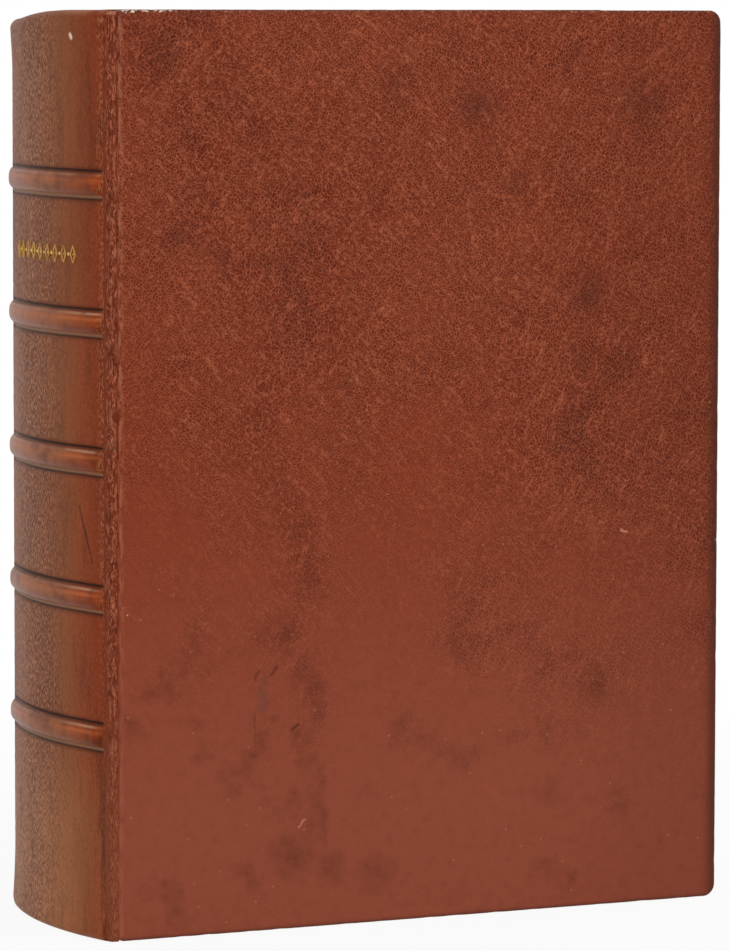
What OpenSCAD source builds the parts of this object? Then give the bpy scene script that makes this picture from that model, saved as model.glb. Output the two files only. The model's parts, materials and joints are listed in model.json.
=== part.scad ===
// Full leather book: two laced boards on a rounded, sewn text block, with raised bands on the spine.
// It stands upright on its tail. The spine faces -X, the fore-edge +X, the front cover -Y, the head +Z.
// Sizes are in millimetres.

/* [Covers] */
// Height of the covers, from tail to head
cover_h = 232; // [180:1:300]
// Width of a cover, from the joint to the fore-edge
cover_w = 171.5; // [120:0.5:230]
// Thickness of the whole book over both covers
book_t = 66; // [45:0.5:90]
// Thickness of the millboards
board_t = 2.8; // [2:0.1:4]
// Thickness of the leather on the outside of the covers
cover_leather_t = 0.9; // [0.6:0.05:1.3]
// Thickness of the pared leather that is turned in
turn_in_t = 0.6; // [0.45:0.05:0.9]
// Width of the leather turned in over the inside of a board
turn_in_w = 17; // [8:0.5:30]
// Rounding along the edges of a covered board
edge_r = 0.8; // [0.4:0.05:1.2]
// Radius of the fore-edge corners of a cover, seen from the front
corner_r = 2.5; // [1.4:0.1:8]
// Thickness of the pastedown inside each cover
pastedown_t = 0.35; // [0.2:0.05:0.4]
// Gap that is left around the pastedown, inside the turned-in leather
pastedown_gap = 0.2; // [0.1:0.05:1]

/* [Joints] */
// Radius of the leather roll that each cover turns on
joint_r = 1.1; // [0.8:0.05:1.4]
// Free space around the roll
joint_gap = 0.3; // [0.2:0.05:0.6]
// Distance of the crease in the cover leather from the middle of the roll
crease_x = 1; // [0.8:0.05:1.3]
// Width of the crease
crease_w = 0.8; // [0.4:0.05:1]
// Depth of the crease
crease_depth = 0.3; // [0.1:0.05:0.4]
// Gap between a closed cover and the flyleaf under it
closing_gap = 0.3; // [0.2:0.05:0.8]

/* [Spine] */
// How far the round of the spine stands behind the joints
spine_round = 5.3; // [3.5:0.1:12]
// Thickness of the leather on the spine
spine_leather_t = 1; // [0.7:0.05:1.3]
// Thickness of the linings between leather and text block
lining_t = 0.8; // [0.4:0.05:1.5]
// Height of the stretch that flares out at head and tail
flare_h = 25; // [12:0.5:35]
// How far the spine flares out at head and tail
flare_out = 0.8; // [0.3:0.05:1.3]
// Thickness of the rolled caps over the endbands
cap_t = 1; // [0.7:0.05:1.2]
// Rounding of the caps, seen from the side
cap_r = 2.5; // [1.6:0.1:4]

/* [Raised bands] */
// Number of raised bands
band_count = 5; // [3:1:6]
// Height of the panel under the lowest band, to the band's centre
tail_panel = 51.2; // [36:0.2:60]
// Height of the panel over the highest band, to the band's centre
head_panel = 43.2; // [36:0.2:60]
// Width of a band along the spine
band_w = 5.2; // [4.6:0.1:6.4]
// How far a band stands out from the spine
band_h = 1.45; // [0.8:0.05:2]
// How far short of the joint a band starts to round down
band_stop = 3; // [2.4:0.1:6]
// Radius of the round that a band ends in
band_end_r = 2; // [1.8:0.1:2.4]
// Thickness of a sewing cord
cord_d = 3.2; // [2.4:0.1:3.6]

/* [Blind lines] */
// Distance of each blind line from the centre of its band
line_offset = 3.55; // [3.4:0.05:5]
// Width of a blind line
line_w = 0.9; // [0.4:0.05:1.2]
// Depth of a blind line
line_depth = 0.35; // [0.1:0.05:0.4]

/* [Text block] */
// How far the covers stand past the pages at head, tail and fore-edge
square_w = 3; // [2.2:0.1:6]
// Depth of the hollow along the fore-edge
fore_hollow = 4.5; // [1:0.1:10]
// Thickness of each free flyleaf
flyleaf_t = 0.3; // [0.2:0.05:0.5]
// Free space between glued curved faces
glue_gap = 0.05; // [0.02:0.01:0.1]

/* [Laced ends of the cords] */
// Length of a flattened cord end along the board
slip_len = 11; // [6:0.5:20]
// Width of a flattened cord end
slip_w = 5; // [3.2:0.1:7]
// Thickness of a flattened cord end
slip_t = 0.7; // [0.4:0.05:1]
// Diameter of the hole that takes the cord end through the board
lace_d = 2.4; // [1.5:0.1:3]

/* [Hidden] */
round_fn = 256; // facets of the large curves in a quick view
small_fn = 48; // facets of the small curves in a quick view
over = 1; // how far a cutting shape reaches past what it cuts

half_t = book_t / 2;
cover_t = cover_leather_t + board_t + turn_in_t;

// The spine is one arc over both joints, and everything round there turns about spine_x.
spine_r = (half_t * half_t + spine_round * spine_round) / (2 * spine_round);
spine_x = spine_r - spine_round;
lining_r = spine_r - spine_leather_t;
back_r = lining_r - lining_t;
spine_reach = spine_round + max(band_h, flare_out);

// A cover's roll touches both the cover's outer face and the round of the spine.
joint_y = half_t - joint_r;
joint_x = spine_x - sqrt(pow(spine_r - joint_r, 2) - pow(joint_y, 2));
board_x = joint_x + joint_r + joint_gap;

// Half widths of what lies between the covers.
leather_y = half_t - 2 * joint_r - joint_gap;
shoulder_y = leather_y - joint_gap;
block_y = half_t - cover_t - closing_gap - flyleaf_t;
shoulder_x = board_x - joint_gap;

fore_x = cover_w - square_w;
fore_r = (block_y * block_y + fore_hollow * fore_hollow) / (2 * fore_hollow);

// The cords lie right under the leather of the bands, and sink into the back of the text block.
cord_r = cord_d / 2;
cord_path_r = spine_r + band_h - spine_leather_t - cord_r;
band_r = (band_w * band_w / 4 + band_h * band_h) / (2 * band_h);
band_pitch = (cover_h - tail_panel - head_panel) / (band_count - 1);
band_z = [for (i = [0:band_count - 1]) tail_panel + i * band_pitch];

// The bands round down short of the joints, and the cords end where that begins.
stop_y = leather_y - band_stop;
band_end_path_r = spine_r + band_h + 0.1 * band_end_r - band_end_r;
stop_angle = asin(stop_y / band_end_path_r);

// The endbands stand on the ends of the text block, just under the caps.
endband_d = square_w - cap_t - 2 * glue_gap;
endband_path_r = back_r - endband_d / 2 - glue_gap;
bead_d = endband_d / 3;
bead_path_r = endband_path_r - endband_d / 2 - bead_d / 2 - glue_gap;
endband_y = block_y - 1.5;
cap_lip_r = bead_path_r - bead_d / 2;
cap_bevel = 0.3 * cap_t;

flare_r = (flare_h * flare_h + flare_out * flare_out) / (2 * flare_out);
crease_r = (crease_w * crease_w / 4 + crease_depth * crease_depth) / (2 * crease_depth);
line_r = (line_w * line_w / 4 + line_depth * line_depth) / (2 * line_depth);

// The model's origin lies under the middle of its box.
middle_x = (cover_w - spine_reach) / 2;

leather_colour = [0.5, 0.24, 0.16];
spine_colour = [0.49, 0.28, 0.16];
board_colour = [0.62, 0.56, 0.45];
cord_colour = [0.76, 0.68, 0.5];
lining_colour = [0.72, 0.62, 0.45];
paper_colour = [0.9, 0.86, 0.75];
silk_colour = [0.6, 0.16, 0.12];

// Puts a piece in the model's frame.
module placed() {
    translate([-middle_x, 0, 0]) children();
}

// The rear cover is the front one mirrored.
module rear() {
    mirror([0, 1, 0]) children();
}

// Turns a profile of radius and height about the spine's centre, by half an angle to each side.
module spine_arc(half_angle) {
    translate([spine_x, 0, 0]) rotate([0, 0, 180 - half_angle])
        rotate_extrude(angle = 2 * half_angle, $fn = round_fn) children();
}

// The same, with flat ends at half width y.
module spine_turn(y, r) {
    intersection() {
        spine_arc(asin(min(0.95, (y + over) / r))) children();
        translate([-spine_reach - over, -y, -over])
            cube([spine_r, 2 * y, cover_h + 2 * over]);
    }
}

// Outline of all that lies between the covers: narrow under the boards, wider in front of their edges.
module between_covers(wide_y) {
    translate([-spine_reach - over, -block_y]) square([cover_w + spine_reach + over, 2 * block_y]);
    translate([-spine_reach - over, -wide_y])
        square([shoulder_x + spine_reach + over, 2 * wide_y]);
}

// Text block: rounded back with shoulders for the boards, hollow fore-edge, and beds for the cords.
module text_block() {
    color(paper_colour) placed() difference() {
        translate([0, 0, square_w]) linear_extrude(cover_h - 2 * square_w) difference() {
            intersection() {
                translate([spine_x, 0]) circle(back_r, $fn = round_fn);
                union() {
                    translate([-spine_round, -block_y]) square([spine_round + fore_x, 2 * block_y]);
                    translate([-spine_round, -shoulder_y])
                        square([spine_round + shoulder_x, 2 * shoulder_y]);
                }
            }
            translate([fore_x + fore_r - fore_hollow, 0]) circle(fore_r, $fn = round_fn);
        }
        for (z = band_z) cord_shape(z, glue_gap);
    }
}

// Round cord along the back of the text block at height z, grown by a clearance for the bed it lies in.
module cord_shape(z, clearance) {
    spine_turn(stop_y + clearance, cord_path_r)
        translate([cord_path_r, z]) circle(cord_r + clearance, $fn = small_fn);
}

// One sewing cord, bent round the back of the text block.
module sewing_cord(z) {
    color(cord_colour) placed() cord_shape(z, 0);
}

// Linings pasted on the back of the text block, one panel on each side of every cord.
module spine_lining() {
    cuts = concat([square_w - cord_r - 2 * glue_gap], band_z,
                  [cover_h - square_w + cord_r + 2 * glue_gap]);
    color(lining_colour) placed() for (i = [0:band_count]) {
        low = cuts[i] + cord_r + 2 * glue_gap;
        high = cuts[i + 1] - cord_r - 2 * glue_gap;
        spine_turn(shoulder_y, back_r) translate([back_r + glue_gap, low])
            square([lining_t - 2 * glue_gap, high - low]);
    }
}

// Section of one flared and capped end of the spine leather, at the tail.
module spine_end() {
    outer_r = spine_r + flare_out;
    difference() {
        union() {
            translate([lining_r, 0]) square([outer_r - lining_r, flare_h]);
            polygon([[cap_lip_r, cap_bevel], [cap_lip_r + cap_bevel, 0], [outer_r, 0], [outer_r, cap_t],
                     [cap_lip_r + cap_bevel, cap_t], [cap_lip_r, cap_t - cap_bevel]]);
        }
        translate([spine_r + flare_r, flare_h]) circle(flare_r, $fn = round_fn);
        difference() {
            translate([outer_r - cap_r, -over]) square([cap_r + over, cap_r + over]);
            translate([outer_r - cap_r, cap_r]) circle(cap_r, $fn = small_fn);
        }
    }
}

// Section of the spine leather without its bands: a wall with blind lines, flared and capped.
module spine_section() {
    difference() {
        union() {
            translate([lining_r, flare_h]) square([spine_leather_t, cover_h - 2 * flare_h]);
            spine_end();
            translate([0, cover_h]) mirror([0, 1]) spine_end();
        }
        for (z = band_z, side = [-1, 1])
            translate([spine_r + line_r - line_depth, z + side * line_offset])
                circle(line_r, $fn = small_fn);
    }
}

// Raised bands: low round beads that stop short of the joints and round down to the spine there.
module raised_bands() {
    base_r = spine_r - spine_leather_t / 2;
    intersection() {
        spine_turn(leather_y, spine_r) for (z = band_z) intersection() {
            translate([spine_r + band_h - band_r, z]) circle(band_r, $fn = small_fn);
            translate([base_r, z - band_w]) square([band_w, 2 * band_w]);
        }
        linear_extrude(cover_h) {
            translate([-spine_reach - over, -stop_y]) square([spine_reach + half_t, 2 * stop_y]);
            for (side = [-1, 1])
                translate([spine_x - band_end_path_r * cos(stop_angle), side * stop_y])
                    circle(band_end_r, $fn = small_fn);
        }
    }
}

// Leather of the spine, with its raised bands, blind lines, flares and caps.
module spine_leather() {
    color(spine_colour) placed() difference() {
        union() {
            intersection() {
                spine_turn(leather_y, cap_lip_r) spine_section();
                translate([0, 0, -over]) linear_extrude(cover_h + 2 * over) between_covers(leather_y);
            }
            raised_bands();
        }
        for (z = band_z) cord_shape(z, glue_gap);
    }
}

// Endband: a wound core with a small bead along its inner side, standing on the tail of the block.
module endband() {
    color(silk_colour) placed() spine_arc(asin(endband_y / endband_path_r)) {
        translate([endband_path_r, square_w - endband_d / 2]) circle(endband_d / 2, $fn = small_fn);
        translate([bead_path_r, square_w - bead_d / 2]) circle(bead_d / 2, $fn = small_fn);
    }
}

module tail_endband() {
    endband();
}

module head_endband() {
    translate([0, 0, cover_h]) mirror([0, 0, 1]) endband();
}

// Free flyleaf that lies on the front of the text block.
module front_flyleaf() {
    color(paper_colour) placed() translate([shoulder_x, -block_y - flyleaf_t, square_w])
        cube([fore_x - shoulder_x, flyleaf_t, cover_h - 2 * square_w]);
}

module rear_flyleaf() {
    rear() front_flyleaf();
}

// Rounded rectangle from the origin.
module soft_square(size, r) {
    difference() {
        square(size);
        for (u = [0, 1], v = [0, 1])
            translate([u * size[0], v * size[1]]) mirror([u, 0]) mirror([0, v]) difference() {
                translate([-over, -over]) square(r + over);
                translate([r, r]) circle(r, $fn = small_fn);
            }
    }
}

// Flat plate with both fore-edge corners rounded, lying on its outer face at y.
module plate(x, end_x, y, t, edge, r) {
    translate([0, y + t, 0]) rotate([90, 0, 0]) linear_extrude(t) intersection() {
        translate([x - 2 * r, edge]) soft_square([end_x - x + 2 * r, cover_h - 2 * edge], r);
        translate([x, 0]) square([end_x - x, cover_h]);
    }
}

// Cord ends of one cover: flattened along the board's outer face, then down through their holes.
module slips(fit) {
    board_y = -half_t + cover_leather_t;
    for (z = band_z) {
        translate([board_x, board_y, z - slip_w / 2]) cube([slip_len, slip_t, slip_w]);
        translate([board_x + slip_len, board_y, z]) rotate([-90, 0, 0])
            cylinder(h = board_t, d = lace_d + fit, $fn = small_fn);
    }
}

// Millboard of the front cover, with channels and holes for the cord ends.
module front_board() {
    color(board_colour) placed() difference() {
        plate(board_x, cover_w - cover_leather_t, -half_t + cover_leather_t, board_t,
              cover_leather_t, corner_r - cover_leather_t + glue_gap);
        slips(2 * glue_gap);
    }
}

module rear_board() {
    rear() front_board();
}

module front_slips() {
    color(cord_colour) placed() slips(0);
}

module rear_slips() {
    rear() front_slips();
}

// Paper pasted inside the front cover, within the turned-in leather.
module front_pastedown() {
    margin = turn_in_w + pastedown_gap;
    color(paper_colour) placed()
        translate([board_x, -half_t + cover_leather_t + board_t, margin])
        cube([cover_w - margin - board_x, pastedown_t, cover_h - 2 * margin]);
}

module rear_pastedown() {
    rear() front_pastedown();
}

// Section of a cover across its height: the roll, the creased skin beside it, and the covered board.
module cover_section() {
    difference() {
        union() {
            translate([joint_x, -joint_y]) circle(joint_r, $fn = small_fn);
            translate([joint_x, -half_t]) square([board_x - joint_x + over, cover_leather_t]);
            intersection() {
                translate([0, -half_t]) soft_square([cover_w, cover_t], edge_r);
                translate([board_x, -half_t]) square([cover_w, cover_t]);
            }
        }
        translate([joint_x + crease_x, -half_t + crease_depth - crease_r])
            circle(crease_r, $fn = small_fn);
    }
}

// Leather of the front cover, rounded over every edge of the board and turned in.
module front_leather() {
    board_y = -half_t + cover_leather_t;
    color(leather_colour) placed() difference() {
        intersection() {
            linear_extrude(cover_h) cover_section();
            plate(-2 * joint_r, cover_w, -half_t, cover_t, 0, corner_r);
            translate([-over - joint_r, 0, 0]) rotate([90, 0, 90])
                linear_extrude(cover_w + joint_r + 2 * over)
                translate([-half_t, 0]) soft_square([cover_t, cover_h], edge_r);
        }
        difference() {
            plate(board_x - over, cover_w - cover_leather_t, board_y, board_t,
                  cover_leather_t, corner_r - cover_leather_t + glue_gap);
            translate([board_x - 2 * over, -half_t, 0]) cube([over, cover_t, cover_h]);
        }
        translate([board_x - over, board_y + board_t, turn_in_w])
            cube([cover_w - turn_in_w - board_x + over, turn_in_t + over, cover_h - 2 * turn_in_w]);
    }
}

module rear_leather() {
    rear() front_leather();
}

text_block();
spine_lining();
spine_leather();
head_endband();
tail_endband();
front_flyleaf();
rear_flyleaf();
front_board();
front_slips();
front_pastedown();
front_leather();
rear_board();
rear_slips();
rear_pastedown();
rear_leather();
for (i = [1:band_count])
    sewing_cord(band_z[i - 1]);
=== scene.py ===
import json
import math

import bmesh
import bpy
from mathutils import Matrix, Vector, noise


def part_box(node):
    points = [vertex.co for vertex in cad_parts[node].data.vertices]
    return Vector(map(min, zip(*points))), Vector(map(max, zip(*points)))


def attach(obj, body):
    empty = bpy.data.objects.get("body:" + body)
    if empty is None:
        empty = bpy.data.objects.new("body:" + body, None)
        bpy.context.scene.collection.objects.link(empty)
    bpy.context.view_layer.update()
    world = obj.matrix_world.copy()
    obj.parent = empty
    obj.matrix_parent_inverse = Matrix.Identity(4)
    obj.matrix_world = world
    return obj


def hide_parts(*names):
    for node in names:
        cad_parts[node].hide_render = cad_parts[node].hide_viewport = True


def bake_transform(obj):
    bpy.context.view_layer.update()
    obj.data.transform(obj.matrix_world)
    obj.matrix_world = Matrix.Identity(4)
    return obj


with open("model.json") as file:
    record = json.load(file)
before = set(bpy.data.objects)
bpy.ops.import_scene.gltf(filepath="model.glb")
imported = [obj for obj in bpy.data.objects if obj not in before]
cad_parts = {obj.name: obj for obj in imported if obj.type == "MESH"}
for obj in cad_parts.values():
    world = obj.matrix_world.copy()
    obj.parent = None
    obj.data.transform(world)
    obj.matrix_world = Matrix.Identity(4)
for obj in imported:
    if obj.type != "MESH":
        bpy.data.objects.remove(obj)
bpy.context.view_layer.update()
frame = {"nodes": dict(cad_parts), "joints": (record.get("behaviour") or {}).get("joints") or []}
scene = bpy.context.scene
scene.view_settings.view_transform = "Standard"

mm = 0.001

# camera, fitted to the photo
view = {
    "place": (-0.5854, -1.2606, 0.2345),
    "tilt": 84.942,             # degrees from straight down
    "roll": -0.105,
    "pan": -24.999,
    "lens": 264.86,
    "sensor": 36.0,
    "clip": (0.05, 20),
}

cameraData = bpy.data.cameras.new("photoCamera")
cameraData.lens = view["lens"]
cameraData.sensor_fit = "HORIZONTAL"
cameraData.sensor_width = view["sensor"]
cameraData.clip_start, cameraData.clip_end = view["clip"]
camera = bpy.data.objects.new("photoCamera", cameraData)
camera.location = view["place"]
camera.rotation_euler = [math.radians(view[k]) for k in ("tilt", "roll", "pan")]
scene.collection.objects.link(camera)
scene.camera = camera
print("camera set")

binding = {
    "coverWidth": 171.5 * mm,   # corner of the spine to the fore-edge
    "bandHeight": 1.45 * mm,
    "bandWidth": 5.2 * mm,
    "bandShift": 0.3 * mm,      # a band sits a little above the middle of its two lines
    "firstBand": 51.2 * mm,     # height of the lowest raised band
    "bandPitch": 34.4 * mm,
    "bands": 5,
}

# sizes read from the frame
coverLow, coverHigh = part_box("front_leather")
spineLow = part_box("spine_leather")[0]
blockLow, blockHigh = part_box("text_block")
hinge = next(j for j in frame["joints"] if j["name"] == "front_cover_hinge")
hingeX, hingeY = hinge["pos_m"][0], hinge["pos_m"][1]

height = coverHigh.z
halfThick = -coverLow.y
coverThick = coverHigh.y - coverLow.y
foreEdge = coverHigh.x
cornerX = foreEdge - binding["coverWidth"]
backX = spineLow.x + binding["bandHeight"]
spineRound = cornerX - backX
spineR = (halfThick ** 2 + spineRound ** 2) / (2 * spineRound)
spineCentre = backX + spineR
rollR = halfThick + hingeY
bandHeights = [binding["firstBand"] + k * binding["bandPitch"] for k in range(binding["bands"])]


def spineX(r, y):
    return spineCentre - math.sqrt(r * r - y * y)


def newPiece(name, points, faces, material=None):
    mesh = bpy.data.meshes.new(name)
    mesh.from_pydata([tuple(p) for p in points], [], faces)
    if material:
        mesh.materials.append(material)
    piece = bpy.data.objects.new(name, mesh)
    scene.collection.objects.link(piece)
    return piece


def cleanMesh(piece, join=0.002 * mm, outward=True, smooth=True):
    work = bmesh.new()
    work.from_mesh(piece.data)
    bmesh.ops.remove_doubles(work, verts=work.verts, dist=join)
    bmesh.ops.dissolve_degenerate(work, edges=work.edges, dist=join)
    if outward:
        bmesh.ops.recalc_face_normals(work, faces=work.faces)
    work.to_mesh(piece.data)
    work.free()
    piece.data.polygons.foreach_set("use_smooth", [smooth] * len(piece.data.polygons))


def bakeModifiers(piece):
    graph = bpy.context.evaluated_depsgraph_get()
    made = bpy.data.meshes.new_from_object(piece.evaluated_get(graph))
    piece.modifiers.clear()
    piece.data = made
    made.name = piece.name


def loft(rings):
    # a closed skin over rings that all have the same number of points
    points = [p for ring in rings for p in ring]
    n, last = len(rings[0]), len(rings) - 1
    faces = [(k * n + i, k * n + (i + 1) % n, (k + 1) * n + (i + 1) % n, (k + 1) * n + i)
             for k in range(last) for i in range(n)]
    faces += [tuple(range(n))[::-1], tuple(last * n + i for i in range(n))]
    return points, faces


def steps(start, end, most):
    # even steps from start to end, none longer than most
    count = max(1, math.ceil(abs(end - start) / most))
    return [start + (end - start) * i / count for i in range(count + 1)]


def ramp(value, low, high):
    # 0 up to low and 1 from high on, smooth between
    t = min(1, max(0, (value - low) / (high - low)))
    return t * t * (3 - 2 * t)


def srgb(r, g, b):
    def linear(c):
        c /= 255
        return c / 12.92 if c < 0.04045 else ((c + 0.055) / 1.055) ** 2.4
    return (linear(r), linear(g), linear(b), 1.0)


class Socket:
    # one output of a node; sums written with it lay down maths nodes
    def __init__(self, tree, out):
        self.tree = tree
        self.out = out

    def __add__(self, other): return combine("ADD", self, other)
    def __radd__(self, other): return combine("ADD", other, self)
    def __sub__(self, other): return combine("SUBTRACT", self, other)
    def __rsub__(self, other): return combine("SUBTRACT", other, self)
    def __mul__(self, other): return combine("MULTIPLY", self, other)
    def __rmul__(self, other): return combine("MULTIPLY", other, self)
    def __truediv__(self, other): return combine("DIVIDE", self, other)
    def __rtruediv__(self, other): return combine("DIVIDE", other, self)
    def __pow__(self, other): return combine("POWER", self, other)
    def __neg__(self): return combine("MULTIPLY", self, -1.0)
    def __abs__(self): return combine("ABSOLUTE", self)

    def split(self):
        parts = self.tree.node("ShaderNodeSeparateXYZ", None, {"Vector": self}).out.node
        return [Socket(self.tree, parts.outputs[k]) for k in "XYZ"]

    def smooth(self, low, high):
        return self.tree.node("ShaderNodeMapRange", {"interpolation_type": "SMOOTHSTEP"},
                              {"Value": self, "From Min": low, "From Max": high})


def kindOf(term):
    if isinstance(term, Socket):
        return {"RGBA": "colour", "VECTOR": "vector"}.get(term.out.type, "number")
    if isinstance(term, tuple):
        return "colour" if len(term) == 4 else "vector"
    return "number"


def treeOf(*terms):
    return next(t for t in terms if isinstance(t, Socket)).tree


def combine(operation, *terms):
    tree = treeOf(*terms)
    kinds = [kindOf(t) for t in terms]
    if "vector" in kinds:
        return tree.node("ShaderNodeVectorMath", {"operation": operation}, dict(enumerate(terms)))
    if "colour" in kinds:
        return tree.node("ShaderNodeMix", {"data_type": "RGBA", "blend_type": operation},
                         {0: 1.0, 6: terms[0], 7: terms[1]}, 2)
    return tree.node("ShaderNodeMath", {"operation": operation}, dict(enumerate(terms)))


def largest(first, *others):
    for other in others:
        first = combine("MAXIMUM", first, other)
    return first


def mix(amount, a, b):
    return treeOf(amount, a, b).node("ShaderNodeMix", {"data_type": "RGBA"},
                                     {0: amount, 6: a, 7: b}, 2)


def coated(colour, *coats):
    # lays coats over a colour, each given as how much and what colour
    for amount, tone in coats:
        colour = mix(amount, colour, tone)
    return colour


def strip(value, centre, wide, narrow=0.0):
    # 1 within narrow of the centre, fading to 0 at wide
    return abs(value - centre).smooth(wide, narrow)


class Tree:
    def __init__(self, nodeTree):
        self.nodeTree = nodeTree

    def node(self, kind, settings=None, sockets=None, out=0):
        count = len(self.nodeTree.nodes)
        made = self.nodeTree.nodes.new(kind)
        made.location = (count % 14 * 190, -(count // 14) * 330)    # in rows of 14
        for name, value in (settings or {}).items():
            setattr(made, name, value)
        for name, value in (sockets or {}).items():
            self.feed(made.inputs[name], value)
        return Socket(self, made.outputs[out]) if len(made.outputs) else made

    def feed(self, target, value):
        if isinstance(value, Socket):
            self.nodeTree.links.new(value.out, target)
        elif target.type in ("RGBA", "VECTOR") and isinstance(value, (int, float)):
            wide = len(target.default_value)
            target.default_value = [value] * 3 + [1.0] * (wide - 3)
        else:
            target.default_value = value

    def vector(self, x, y, z=0.0):
        return self.node("ShaderNodeCombineXYZ", None, {"X": x, "Y": y, "Z": z})

    def measure(self, operation, *terms):
        # a number made from vectors, such as a distance
        return self.node("ShaderNodeVectorMath", {"operation": operation},
                         dict(enumerate(terms)), "Value")


class Finish(Tree):
    # a material: one Principled shader and the pattern nodes that feed it
    def __init__(self, name, fixed):
        self.material = bpy.data.materials.new(name)
        self.material.use_nodes = True
        super().__init__(self.material.node_tree)
        self.nodeTree.nodes.clear()
        self.shader = self.nodeTree.nodes.new("ShaderNodeBsdfPrincipled")
        target = self.nodeTree.nodes.new("ShaderNodeOutputMaterial")
        self.nodeTree.links.new(self.shader.outputs[0], target.inputs["Surface"])
        for key, value in fixed.items():
            self.set(key, value)
        self.place = self.node("ShaderNodeTexCoord", out="Object")
        self.dimensions = "3D"
        self.flat = None        # the plane that spots and scratches are drawn on

    def set(self, name, value):
        self.feed(self.shader.inputs[name], value)

    def noise(self, place, scale, detail=2.0, roughness=0.5, out="Fac"):
        return self.node("ShaderNodeTexNoise", {"noise_dimensions": self.dimensions},
                         {"Vector": place, "Scale": scale, "Detail": detail,
                          "Roughness": roughness}, out)

    def sway(self, place, scale, detail, roughness=0.5):
        # a direction that wanders, about zero
        return self.noise(place, scale, detail, roughness, "Color") - (0.5, 0.5, 0.5)

    def cells(self, place, scale, feature="DISTANCE_TO_EDGE", out="Distance"):
        return self.node("ShaderNodeTexVoronoi",
                         {"feature": feature, "voronoi_dimensions": self.dimensions},
                         {"Vector": place, "Scale": scale}, out)

    def bump(self, relief, depth, strength=1.0):
        self.set("Normal", self.node("ShaderNodeBump", None,
                                     {"Height": relief, "Distance": depth,
                                      "Strength": strength}))

    def spot(self, x, z, radius, soft):
        # 1 inside a round spot, fading to 0 at its rim
        away = self.measure("DISTANCE", self.flat, (x, z, 0))
        return away.smooth(radius * (1 + soft), radius * (1 - soft))

    def scratch(self, start, end, width):
        # 1 along a line, fading to 0 across its width
        begin = Vector((start[0], start[1], 0))
        along = Vector((end[0], end[1], 0)) - begin
        way = tuple(along.normalized())
        rel = self.flat - tuple(begin)
        run = combine("MINIMUM", largest(self.measure("DOT_PRODUCT", rel, way), 0.0), along.length)
        nearest = self.node("ShaderNodeVectorMath", {"operation": "SCALE"}, {0: way, "Scale": run})
        return self.measure("LENGTH", rel - nearest).smooth(width, width * 0.3)

    def turned(self, place, degrees, narrow):
        # turns a pattern in the plane of the covers and draws it out that way
        return self.node("ShaderNodeMapping", {"vector_type": "TEXTURE"},
                         {"Vector": place, "Rotation": (0, 0, math.radians(degrees)),
                          "Scale": (1 / narrow, 1.0, 1.0)})


skinLook = {
    "base": srgb(132, 52, 31),
    "low": srgb(145, 73, 54),       # towards the foot
    "pit": srgb(80, 26, 15),
    "crest": srgb(198, 110, 78),
    "stain": srgb(58, 26, 20),
    "scuff": srgb(92, 66, 56),
    "rim": srgb(70, 40, 32),
    "worn": srgb(190, 120, 92),
    # pale tone of a light speck and of the painted highlights along the top edge
    "glint": srgb(240, 222, 198),
    "tint": srgb(255, 215, 175),    # warm gloss of waxed leather
    # cells, dashes and wrinkles of the grain: how many per metre, and how strong
    "cellScale": 1400, "dashScale": 760, "wrinkleScale": 330,
    "pits": 0.70, "crests": 0.74, "wrinkles": 0.38,
    "grainDepth": 0.20 * mm,
    # the two ways the grain runs: degrees, how narrow it is drawn, finer cells
    "up": (58, 0.40, 1.0),
    "down": (-44, 0.44, 1.1),
    "polished": (30 * mm, 150 * mm),    # the grain comes up between these heights
    "rimWidth": 3.8 * mm,
    "frontY": (-31 * mm, -32 * mm),     # the marks are on the front cover only
    # x, height, radius and strength of each dark blotch on the front
    "stains": [
        (0.0188, 0.2076, 0.0050, 0.50), (0.0505, 0.1597, 0.0055, 0.50),
        (-0.0038, 0.2141, 0.0045, 0.35), (0.0660, 0.2090, 0.0060, 0.35),
        (0.0300, 0.1880, 0.0030, 0.30), (-0.0330, 0.0190, 0.0050, 0.40),
        (-0.0220, 0.0150, 0.0035, 0.40), (-0.0095, 0.0129, 0.0040, 0.30),
        (-0.0434, 0.0446, 0.0009, 0.60), (-0.0315, 0.0497, 0.0012, 0.50),
        (-0.0378, 0.0538, 0.0010, 0.40), (-0.0290, 0.0425, 0.0026, 0.25),
        (0.0400, 0.0300, 0.0030, 0.22), (0.0150, 0.0400, 0.0030, 0.20),
    ],
    # from, to and half width: dark scratches, grey scuffs, light marks, and a light speck with
    # painted highlights along the top edge
    "scratches": [((-0.0434, 0.0556), (-0.0432, 0.0470), 0.00028),
                  ((-0.0431, 0.0642), (-0.0422, 0.0662), 0.00050),
                  ((-0.0386, 0.0653), (-0.0372, 0.0668), 0.00050),
                  ((-0.0330, 0.0508), (-0.0312, 0.0522), 0.00060)],
    "scuffs": [((-0.0411, 0.0572), (-0.0407, 0.0632), 0.0024),
               ((-0.0799, 0.2315), (-0.0797, 0.2290), 0.0012)],
    "marks": [((0.0604, 0.0980), (0.0622, 0.0974), 0.0006),
              ((-0.0312, 0.0260), (-0.0292, 0.0280), 0.0004)],
    # a light speck, then painted highlights along the top edge of the front board
    "glints": [((-0.0779, 0.0820), (-0.0779, 0.0822), 0.00035),
               ((-0.0784, 0.2318), (-0.0760, 0.2318), 0.00060),
               ((-0.0750, 0.2319), (-0.0722, 0.2319), 0.00040),
               ((-0.0700, 0.2319), (-0.0655, 0.2319), 0.00030)],
}


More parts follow.
